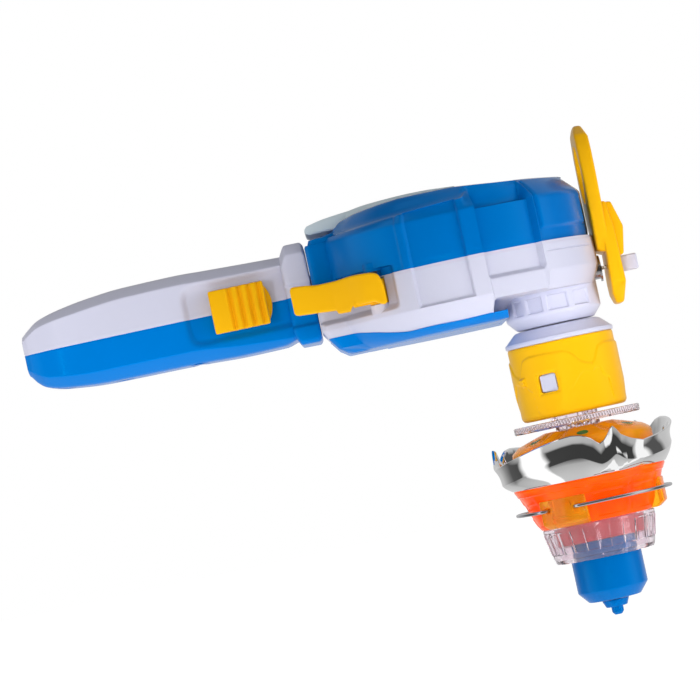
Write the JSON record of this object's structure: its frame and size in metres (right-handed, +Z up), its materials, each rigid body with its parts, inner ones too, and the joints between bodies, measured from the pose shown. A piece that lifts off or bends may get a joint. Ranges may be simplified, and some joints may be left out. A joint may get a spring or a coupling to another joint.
{
  "type": "spinning top launcher",
  "caption": "Hand-held string launcher with a grip, trigger and pull handle, and a spinning top seated in its chuck.",
  "frame": {"origin": "on the spin axis of the chuck, in the plane of the chuck cup's mouth", "axes": "+X forward to the pull handle, away from the grip; +Z up along the spin axis; the trigger is on the -Y side"},
  "size_m": [0.1789, 0.0812, 0.1409],
  "materials": {
    "white_plastic": "glossy",
    "blue_plastic": "glossy",
    "yellow_plastic": "glossy",
    "grey_plastic": "satin",
    "inner_plastic": "satin",
    "steel": "brushed",
    "bronze": "satin",
    "chrome": "polished",
    "string": "braided",
    "clear_plastic": "clear",
    "orange_clear": "clear",
    "yellow_clear": "clear",
    "green_clear": "clear",
    "red_plastic": "glossy"
  },
  "bodies": {
    "launcher_body": {"body_lower_shell": "white_plastic", "body_upper_shell": "blue_plastic", "top_plate": "grey_plastic", "bottom_plate": "blue_plastic", "body_screws": "steel", "handle_tongue": "white_plastic", "lower_bush": "bronze", "upper_bush": "bronze", "spring_housing": "inner_plastic", "rewind_spring": "steel", "reel_axle": "steel", "string_eyelet": "steel", "string_lead": "string", "trigger_pin": "steel", "trigger_spring": "steel"},
    "reel": {"reel_spool": "inner_plastic", "reel_gear": "inner_plastic", "string_winding": "string"},
    "pull": {"pull_handle": "yellow_plastic", "string_anchor": "white_plastic", "pull_string": "string"},
    "chuck": {"chuck_shaft": "steel", "drive_pinion": "inner_plastic", "chuck_head": "inner_plastic", "chuck_core": "white_plastic", "chuck_cup": "yellow_plastic", "chuck_collar": "white_plastic"},
    "trigger": {"trigger_lever": "yellow_plastic"},
    "link": {"release_link": "inner_plastic"},
    "rod": {"release_rod": "steel"},
    "handle": {"handle_upper_shell": "white_plastic", "handle_lower_shell": "blue_plastic", "handle_screws": "steel", "handle_detent": "inner_plastic"},
    "button": {"slide_button": "yellow_plastic", "button_catch": "inner_plastic"},
    "top": {"launch_disc": "clear_plastic", "top_cap": "orange_clear", "cap_gems": "green_clear", "metal_ring": "chrome", "orange_bowl": "orange_clear", "lug_ring": "yellow_clear", "wire_ring": "steel", "red_core": "red_plastic", "ribbed_ring": "clear_plastic", "tip_case": "blue_plastic", "tip_bearing": "steel"},
    "tip": {"spinning_tip": "blue_plastic"}
  },
  "joints": [
    {"name": "chuck_spin", "type": "hinge", "parent": "launcher_body", "child": "chuck", "pos_m": [0, 0, 0.03], "axis": [0, 0, -1], "range_deg": [0, 8594]},
    {"name": "reel_spin", "type": "hinge", "parent": "launcher_body", "child": "reel", "pos_m": [-0.03, 0, 0.045], "axis": [0, 0, 1], "range_deg": [0, 2149], "stiffness_Nm_per_rad": 0.0008, "springref_deg": -716.2},
    {"name": "pull_slide", "type": "slide", "parent": "launcher_body", "child": "pull", "axis": [1, 0, 0], "range_m": [0, 0.45], "deforming": ["pull_string"]},
    {"name": "top_release", "type": "slide", "parent": "chuck", "child": "top", "axis": [0, 0, -1], "range_m": [0, 0.03]},
    {"name": "tip_spin", "type": "hinge", "parent": "top", "child": "tip", "pos_m": [0, 0, -0.055], "axis": [0, 0, -1], "continuous": true},
    {"name": "trigger_press", "type": "hinge", "parent": "launcher_body", "child": "trigger", "pos_m": [-0.049, -0.0298, 0.045], "axis": [0, 0, -1], "range_deg": [0, 10]},
    {"name": "link_slide", "type": "slide", "parent": "launcher_body", "child": "link", "axis": [1, 0, 0], "range_m": [0, 0.0014]},
    {"name": "rod_slide", "type": "slide", "parent": "launcher_body", "child": "rod", "axis": [0, 0, -1], "range_m": [0, 0.0014], "stiffness_N_per_m": 250, "springref_m": -0.0015},
    {"name": "handle_slide", "type": "slide", "parent": "launcher_body", "child": "handle", "axis": [-1, 0, 0], "range_m": [0, 0.027]},
    {"name": "button_slide", "type": "slide", "parent": "handle", "child": "button", "axis": [1, 0, 0], "range_m": [0, 0.004]}
  ],
  "couplings": [
    {"joint": "reel_spin", "follows": "chuck_spin", "ratio": 0.25},
    {"joint": "pull_slide", "follows": "chuck_spin", "m_per_rad": 0.003},
    {"joint": "link_slide", "follows": "rod_slide", "ratio": 1},
    {"joint": "trigger_press", "follows": "rod_slide", "rad_per_m": 124.5}
  ]
}
